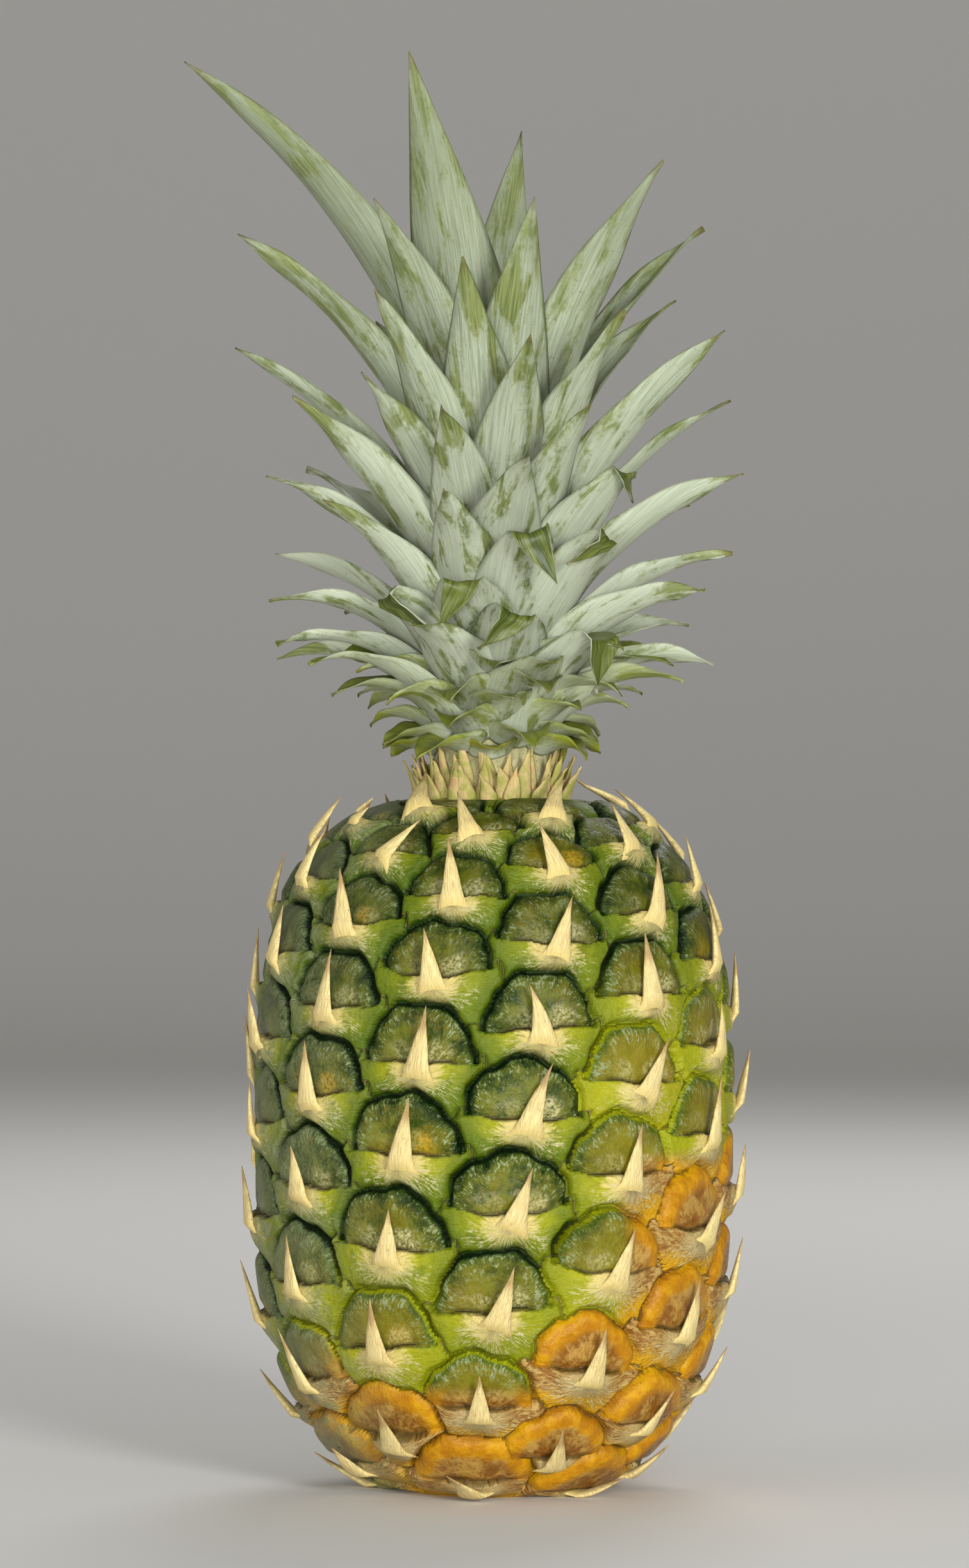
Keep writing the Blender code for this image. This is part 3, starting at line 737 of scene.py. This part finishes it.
# From the lowest to the highest: azimuth in degrees, the tip's reach as a share of
# CROWN_SPREAD, its height as a share of CROWN_HEIGHT, the width in millimetres, the
# whole bend in degrees, and where the tip is folded over, as a share of the length.
CROWN_LEAVES = (
    (68, 0.80, 0.165, 15, 78, 1),
    (-150, 0.82, 0.170, 15, 78, 1),
    (23, 0.78, 0.190, 20, 60, 1),
    (-60, 0.84, 0.188, 14, 80, 1),
    (150, 0.84, 0.192, 16, 72, 1),
    (88, 0.88, 0.190, 15, 76, 1),
    (-105, 0.88, 0.200, 15, 72, 1),
    (45, 0.84, 0.230, 19, 50, 0.72),
    (-20, 0.80, 0.240, 20, 50, 1),
    (180, 0.88, 0.235, 18, 62, 1),
    (-72, 0.88, 0.212, 14, 80, 1),
    (120, 0.92, 0.250, 18, 60, 1),
    (8, 0.84, 0.268, 21, 44, 0.74),
    (-140, 0.92, 0.270, 18, 56, 1),
    (-80, 0.90, 0.275, 15, 76, 1),
    (66, 0.90, 0.290, 18, 54, 1),
    (-38, 0.84, 0.300, 17, 46, 0.72),
    (88, 0.95, 0.340, 16, 60, 1),
    (-12, 0.84, 0.318, 21, 38, 0.76),
    (-110, 0.95, 0.345, 17, 52, 1),
    (36, 0.90, 0.385, 20, 36, 0.80),
    (-50, 0.84, 0.405, 17, 44, 1),
    (128, 0.95, 0.420, 19, 44, 1),
    (16, 0.88, 0.395, 22, 34, 0.78),
    (-78, 0.92, 0.445, 13, 60, 1),
    (86, 0.99, 0.452, 20, 44, 1),
    (-16, 0.88, 0.412, 19, 40, 1),
    (-130, 0.97, 0.470, 19, 42, 1),
    (44, 0.92, 0.480, 19, 34, 0.82),
    (175, 0.96, 0.500, 21, 38, 1),
    (3, 0.92, 0.462, 22, 34, 1),
    (-57, 0.93, 0.545, 19, 36, 1),
    (105, 0.99, 0.560, 20, 38, 1),
    (24, 0.92, 0.530, 18, 34, 1),
    (-15, 0.86, 0.528, 20, 34, 1),
    (-92, 1.02, 0.628, 20, 42, 1),
    (150, 0.95, 0.640, 21, 36, 1),
    (74, 0.95, 0.642, 20, 30, 1),
    (-38, 0.80, 0.575, 17, 32, 1),
    (10, 0.88, 0.620, 21, 38, 1),
    (-150, 0.94, 0.680, 21, 36, 1),
    (38, 0.87, 0.655, 18, 30, 1),
    (-31, 0.82, 0.686, 19, 26, 1),
    (126, 0.84, 0.705, 19, 40, 1),
    (-8, 0.86, 0.722, 22, 26, 1),
    (-88, 1.00, 0.780, 22, 44, 1),
    (112, 0.90, 0.800, 20, 40, 1),
    (12, 0.76, 0.806, 23, 24, 1),
    (168, 0.70, 0.862, 22, 30, 1),
    (48, 0.84, 0.862, 22, 30, 1),
    (-34, 0.72, 0.812, 21, 28, 1),
    (-78, 1.24, 1.005, 25, 46, 1),
    (-172, 0.42, 0.936, 22, 20, 1),
    (-30, 0.68, 1.005, 27, 14, 1),
)


def stem_radius(rise):
    return STEM_BOTTOM_RADIUS + (STEM_TOP_RADIUS - STEM_BOTTOM_RADIUS) * np.clip(rise / STEM_HEIGHT, 0, 1)


def between(low, high, share):
    return low + (high - low) * share


def leaf_outline(share, point=1.6):
    """A leaf's half width along its length, as a share of its greatest; point sets how it tapers."""
    return np.minimum(1.0, 0.84 + 0.8 * share) * np.clip(1 - share**point, 0, 1) ** 1.08


def make_leaf(name, azimuth, base, tip, width, bend, skins, dice, **looks):
    """One leaf: a grid shaped into a curved, channelled blade from base to tip."""
    columns = looks.get("columns", 14)
    rows = looks.get("rows", 36)
    deselect_all()
    bpy.ops.mesh.primitive_grid_add(x_subdivisions=columns, y_subdivisions=rows, size=1)
    leaf = bpy.context.object
    leaf.name = name
    leaf.data.name = name
    flat = points_of(leaf)
    across = flat[:, 0] * 2
    share = flat[:, 1] + 0.5

    chord = math.hypot(tip[0] - base[0], tip[1] - base[1])
    lean = math.atan2(tip[0] - base[0], tip[1] - base[1])

    def spine_line(reach):
        """The middle line's radius and height, and the way that the blade faces."""
        along = chord * np.sin(bend * reach / 2) / math.sin(bend / 2)
        way = lean - bend * (1 - reach) / 2
        return base[0] + along * np.sin(way), base[1] + along * np.cos(way), lean + bend * (reach - 0.5)

    radius, height, facing = spine_line(share)
    half = width / 2 * leaf_outline(share, looks.get("point", 1.6))
    curl = between(looks.get("curl", 1.2), looks.get("tip_curl", 0.4), share**0.8)
    phase = dice.uniform(0, 6.28)
    ripple = looks.get("wave", 0.5) * MM * np.sin(share * 17 + phase + across * 1.5) * across**2 * share
    x = half * np.sin(curl * across) / curl
    offset = ripple - half * (1 - np.cos(curl * across)) / curl
    twist = looks.get("twist", 0.0) * share**1.4
    x, offset = x * np.cos(twist) - offset * np.sin(twist), x * np.sin(twist) + offset * np.cos(twist)
    x = x + looks.get("sweep", 0.0) * chord * share**2
    beyond = np.clip((share - 0.6) / 0.4, 0, 1) ** 2
    side = np.array([math.cos(azimuth), math.sin(azimuth), 0.0])
    outward = polar(np.cos(facing), azimuth, -np.sin(facing))
    places = polar(radius, azimuth, height) + x[:, None] * side + offset[:, None] * outward
    places = places + (looks.get("hook", 0.0) * MM * beyond)[:, None] * outward
    if "fold" in looks and looks["fold"] < 1:
        places = fold_over(places, azimuth, spine_line(looks["fold"]), looks)
    move_points(leaf, places)
    seed = dice.uniform(0, 90)
    length = chord * 1.05
    write_attribute(leaf, "leaf_place", np.stack([across * half / MM, share * length / MM, 0 * share + seed], -1))
    young = looks.get("young", 0.0)
    write_attribute(leaf, "leaf_tone", np.stack([share, np.abs(across), 0 * share + young], -1))
    thin = leaf.vertex_groups.new(name="thickness")
    weights = (1 - 0.72 * np.abs(across) ** 2) * (1 - 0.6 * share)
    for number, weight in enumerate(weights):
        thin.add([number], float(weight), "REPLACE")
    for skin in skins:
        leaf.data.materials.append(skin)
    activate(leaf)
    bpy.ops.object.mode_set(mode="EDIT")
    bpy.ops.mesh.select_all(action="SELECT")
    bpy.ops.mesh.remove_doubles(threshold=0.00002)
    bpy.ops.object.mode_set(mode="OBJECT")
    wall = leaf.modifiers.new("wall", "SOLIDIFY")
    wall.thickness = looks.get("thickness", 1.0) * MM
    wall.offset = 0
    wall.vertex_group = "thickness"
    wall.thickness_vertex_group = 0.15
    wall.material_offset = looks.get("inner_slot", 1)
    wall.use_rim = True
    apply_modifiers(leaf)
    bpy.ops.object.shade_smooth()
    leaf.vertex_groups.clear()
    return leaf


def fold_over(places, azimuth, line, looks):
    """Turns what lies beyond a slanted line across the blade down over its outer side."""
    radius, height, facing = line
    centre = polar(np.array(radius), azimuth, height)
    side = np.array([math.cos(azimuth), math.sin(azimuth), 0.0])
    along = polar(np.array(math.sin(facing)), azimuth, math.cos(facing))
    outward = polar(np.array(math.cos(facing)), azimuth, -math.sin(facing))
    skew = looks.get("fold_skew", 0.3)
    hinge = side * math.cos(skew) + along * math.sin(skew)
    ahead = along * math.cos(skew) - side * math.sin(skew)
    apart = places - centre
    forward = apart @ ahead
    out = apart @ outward
    turn = math.radians(looks.get("fold_turn", 140)) * smooth(forward, -0.5 * MM, 3.5 * MM)
    turned_forward = forward * np.cos(turn) - out * np.sin(turn)
    turned_out = forward * np.sin(turn) + out * np.cos(turn)
    kept = (apart @ hinge)[:, None] * hinge
    return centre + kept + turned_forward[:, None] * ahead + turned_out[:, None] * outward


def leaf_base(rise):
    return stem_radius(rise) + 0.5 * MM, FRUIT_HEIGHT + rise


def front_turn(azimuth):
    """How far a leaf at the side rolls its outer face towards the front, in radians."""
    side = math.sin(math.radians(azimuth))
    return 0.75 * side * abs(side) * (1 if math.cos(math.radians(azimuth)) > -0.35 else -0.3)


def make_crown_leaves(skins):
    dice = random.Random(3)
    last = len(CROWN_LEAVES) - 1
    for number, (azimuth, reach, height, width, bend, fold) in enumerate(CROWN_LEAVES):
        turned = number / last
        rise = FIRST_LEAF_RISE + (LAST_LEAF_RISE - FIRST_LEAF_RISE) * (0.6 * turned + 0.4 * turned**2.4)
        tip = (CROWN_SPREAD * reach, FRUIT_HEIGHT + CROWN_HEIGHT * height)
        node = f"crown_leaf_{number + 1:02d}"
        looks = {
            "fold": fold,
            "fold_skew": dice.choice((-1, 1)) * dice.uniform(0.2, 0.6),
            "fold_turn": dice.uniform(110, 160),
            "sweep": dice.gauss(0, 0.05),
            "twist": front_turn(azimuth) + dice.gauss(0, 0.22),
            "wave": dice.uniform(0.3, 1.1),
            "hook": dice.uniform(0, 1.5),
            "curl": dice.uniform(1.05, 1.3),
            "tip_curl": dice.uniform(0.35, 0.75),
            "young": max(0.0, 0.6 - turned * 5.0) * dice.uniform(0.5, 1),
        }
        leaf = make_leaf(
            f"leaf_{number + 1:02d}", math.radians(azimuth), leaf_base(rise), tip, width * 1.52 * MM,
            math.radians(bend), skins if abs(azimuth) < 80 else [skins[0]] * 2, dice, **looks
        )
        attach(leaf, BODY)
        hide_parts(node)


NECK_LEAF_COUNT = 38
NECK_LEAF_TURN = math.radians(137.5)


def make_neck_leaves(skins):
    """The short curled leaves at the neck, in three groups from the lowest up."""
    dice = random.Random(8)
    groups = [[], [], []]
    for number in range(NECK_LEAF_COUNT):
        share = number / NECK_LEAF_COUNT
        rise = between(10.5, 24, share) * MM
        tip = (
            between(28, 46, share**0.8) * dice.uniform(0.85, 1.1) * MM,
            FRUIT_HEIGHT + between(10, 37, share) * MM + dice.uniform(-3.0, 3.0) * MM,
        )
        leaf = make_leaf(
            f"neck_leaf_{number + 1:02d}",
            number * NECK_LEAF_TURN + dice.uniform(-0.1, 0.1),
            leaf_base(rise),
            tip,
            between(19, 27, share) * MM,
            math.radians(dice.uniform(40, 92)),
            skins,
            dice,
            columns=10,
            rows=20,
            hook=dice.uniform(0, 2.0),
            young=between(1.2, 0.30, share**0.6),
            thickness=0.8,
            twist=dice.gauss(0, 0.4),
            sweep=dice.gauss(0, 0.08),
            point=2.0,
        )
        groups[min(2, int(share * 3))].append(leaf)
    for number, group in enumerate(groups):
        whorl = join(group, f"neck_leaves_{number + 1}")
        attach(whorl, BODY)
        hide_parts(f"neck_whorl_{number + 1}")


# Distance from the stem, length, flare and count of each ring of bracts, the outermost first
BRACT_RINGS = ((3.4, 9.5, 2.8, 20), (2.0, 12.5, 2.0, 18), (0.6, 15.5, 1.2, 16))


def make_neck_bracts(skin):
    """Pale pointed bracts in three rings round the neck."""
    dice = random.Random(4)
    bracts = []
    for ring, (standoff, length, flare, count) in enumerate(BRACT_RINGS):
        for number in range(count):
            azimuth = math.tau * (number + 0.37 * ring) / count + dice.uniform(-0.1, 0.1)
            low = (STEM_BOTTOM_RADIUS + standoff * MM, FRUIT_HEIGHT - 0.6 * MM)
            tall = length * dice.uniform(0.7, 1.15)
            high = (low[0] + flare * dice.uniform(0.2, 1.6) * MM, low[1] + tall * MM)
            bract = make_leaf(
                f"bract_{ring}_{number}", azimuth, low, high, dice.uniform(5.5, 8.5) * MM,
                math.radians(dice.uniform(8, 30)), [skin], dice, columns=6, rows=9, curl=1.0, point=1.3,
                inner_slot=0, thickness=0.8, sweep=dice.gauss(0, 0.16), wave=0.3, twist=dice.gauss(0, 0.4)
            )
            bracts.append(bract)
    piece = join(bracts, "neck_bract_rings")
    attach(piece, BODY)
    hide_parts("neck_bracts")


def make_fruit():
    skin = make_rind()
    pieces = make_rind_pieces(skin)
    spines = make_spines(make_spine_skin())
    for piece in pieces + [spines]:
        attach(piece, BODY)
    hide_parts("fruit")
    make_shoulder(make_plain_tissue("neck_tissue", (0.34, 0.32, 0.06), (0.10, 0.14, 0.02), 260.0))
    make_base(make_plain_tissue("cut_stalk", (0.30, 0.20, 0.09), (0.12, 0.07, 0.03), 420.0))


def make_shoulder(skin):
    """Closes the top of the fruit between its rind and the stem."""
    deselect_all()
    bpy.ops.mesh.primitive_circle_add(vertices=72, radius=NECK_DIAMETER / 2 + 0.3 * MM, fill_type="NGON")
    disc = bpy.context.object
    disc.name = "fruit_shoulder"
    bpy.ops.object.mode_set(mode="EDIT")
    bpy.ops.mesh.select_all(action="SELECT")
    for inset in (1.5, 2.5, 3.5):
        bpy.ops.mesh.inset(thickness=inset * MM)
    bpy.ops.object.mode_set(mode="OBJECT")
    places = points_of(disc)
    distance = np.hypot(places[:, 0], places[:, 1]) / (NECK_DIAMETER / 2)
    places[:, 2] = FRUIT_HEIGHT - 0.8 * MM + 1.6 * MM * smooth(distance, 1.02, 0.75)
    move_points(disc, places)
    activate(disc)
    bpy.ops.object.shade_smooth()
    disc.data.materials.append(skin)
    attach(disc, BODY)


def make_base(skin):
    """The flat spot at the foot, a shallow scar where the stalk was cut."""
    deselect_all()
    bpy.ops.mesh.primitive_circle_add(vertices=72, radius=BASE_SPOT_DIAMETER / 2, fill_type="NGON")
    scar = bpy.context.object
    scar.name = "stalk_scar"
    bpy.ops.object.mode_set(mode="EDIT")
    bpy.ops.mesh.select_all(action="SELECT")
    for inset in (0.6, 1.2, 2.4, 3.0, 3.4, 3.6):
        bpy.ops.mesh.inset(thickness=inset * MM)
    bpy.ops.object.mode_set(mode="OBJECT")
    places = points_of(scar)
    distance = np.hypot(places[:, 0], places[:, 1]) / (BASE_SPOT_DIAMETER / 2)
    places[:, 2] = 1.2 * MM * smooth(distance, 0.97, 0.7)
    move_points(scar, places)
    activate(scar)
    bpy.ops.object.mode_set(mode="EDIT")
    bpy.ops.mesh.select_all(action="SELECT")
    bpy.ops.mesh.flip_normals()
    bpy.ops.object.mode_set(mode="OBJECT")
    bpy.ops.object.shade_smooth()
    scar.data.materials.append(skin)
    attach(scar, BODY)


# ---------------------------------------------------------------- the studio

CAMERA_DISTANCE = 1.6
VIEW_HEIGHT = 0.4036


def make_studio():
    deselect_all()
    bpy.ops.mesh.primitive_plane_add(size=8, location=(0, 0, 0))
    floor = bpy.context.object
    floor.name = "studio_floor"
    board = Board("studio_paper")
    floor.data.materials.append(board.finish((0.78, 0.77, 0.75, 1.0), 0.9))
    bpy.ops.object.mode_set(mode="EDIT")
    bpy.ops.mesh.select_all(action="DESELECT")
    bpy.ops.object.mode_set(mode="OBJECT")
    for edge in floor.data.edges:
        edge.select = all(floor.data.vertices[v].co.y > 1 for v in edge.vertices)
    bpy.ops.object.mode_set(mode="EDIT")
    bpy.ops.mesh.extrude_region_move(TRANSFORM_OT_translate={"value": (0, 0, 4)})
    bpy.ops.mesh.select_all(action="DESELECT")
    bpy.ops.object.mode_set(mode="OBJECT")
    for edge in floor.data.edges:
        edge.select = all(v.co.y > 1 and v.co.z < 1 for v in (floor.data.vertices[n] for n in edge.vertices))
    bpy.ops.object.mode_set(mode="EDIT")
    bpy.ops.mesh.bevel(offset=1.4, segments=16, profile=0.5)
    bpy.ops.object.mode_set(mode="OBJECT")
    bpy.ops.object.shade_smooth()

    lights = (
        ("key", (0.75, -1.75, 0.45), 0.45, 27.0),
        ("front", (-0.25, -2.1, 0.10), 0.6, 29.0),
        ("fill", (-1.4, -0.9, 0.4), 1.1, 5.0),
        ("rim", (0.3, 1.3, 1.2), 0.9, 8.0),
    )
    for name, place, size, power in lights:
        light = bpy.data.lights.new(name, "AREA")
        light.shape = "DISK"
        light.size = size
        light.energy = power
        lamp = bpy.data.objects.new(name, light)
        bpy.context.scene.collection.objects.link(lamp)
        lamp.location = place
        lamp.rotation_euler = (Vector((0, 0, 0.17)) - Vector(place)).to_track_quat("-Z", "Y").to_euler()

    bpy.context.scene.view_settings.view_transform = "Standard"
    world = bpy.data.worlds.new("studio")
    world.use_nodes = True
    world.node_tree.nodes["Background"].inputs["Color"].default_value = (0.93, 0.91, 0.87, 1.0)
    world.node_tree.nodes["Background"].inputs["Strength"].default_value = 0.27
    bpy.context.scene.world = world

    camera = bpy.data.cameras.new("camera")
    camera.sensor_width = 36
    camera.lens = camera.sensor_width * CAMERA_DISTANCE / VIEW_HEIGHT
    viewer = bpy.data.objects.new("camera", camera)
    bpy.context.scene.collection.objects.link(viewer)
    viewer.location = (-0.002, -CAMERA_DISTANCE, 0.181)
    viewer.rotation_euler = (math.radians(90), 0, 0)
    bpy.context.scene.camera = viewer


make_studio()
make_fruit()
leaf_skins = [make_leaf_back(), make_leaf_face()]
make_crown_leaves(leaf_skins)
make_neck_leaves(leaf_skins)
make_neck_bracts(make_bract_skin())
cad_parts["crown_stem"].data.materials.clear()
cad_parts["crown_stem"].data.materials.append(
    make_plain_tissue("stem_tissue", (0.46, 0.42, 0.22), (0.30, 0.28, 0.12), 300.0)
)
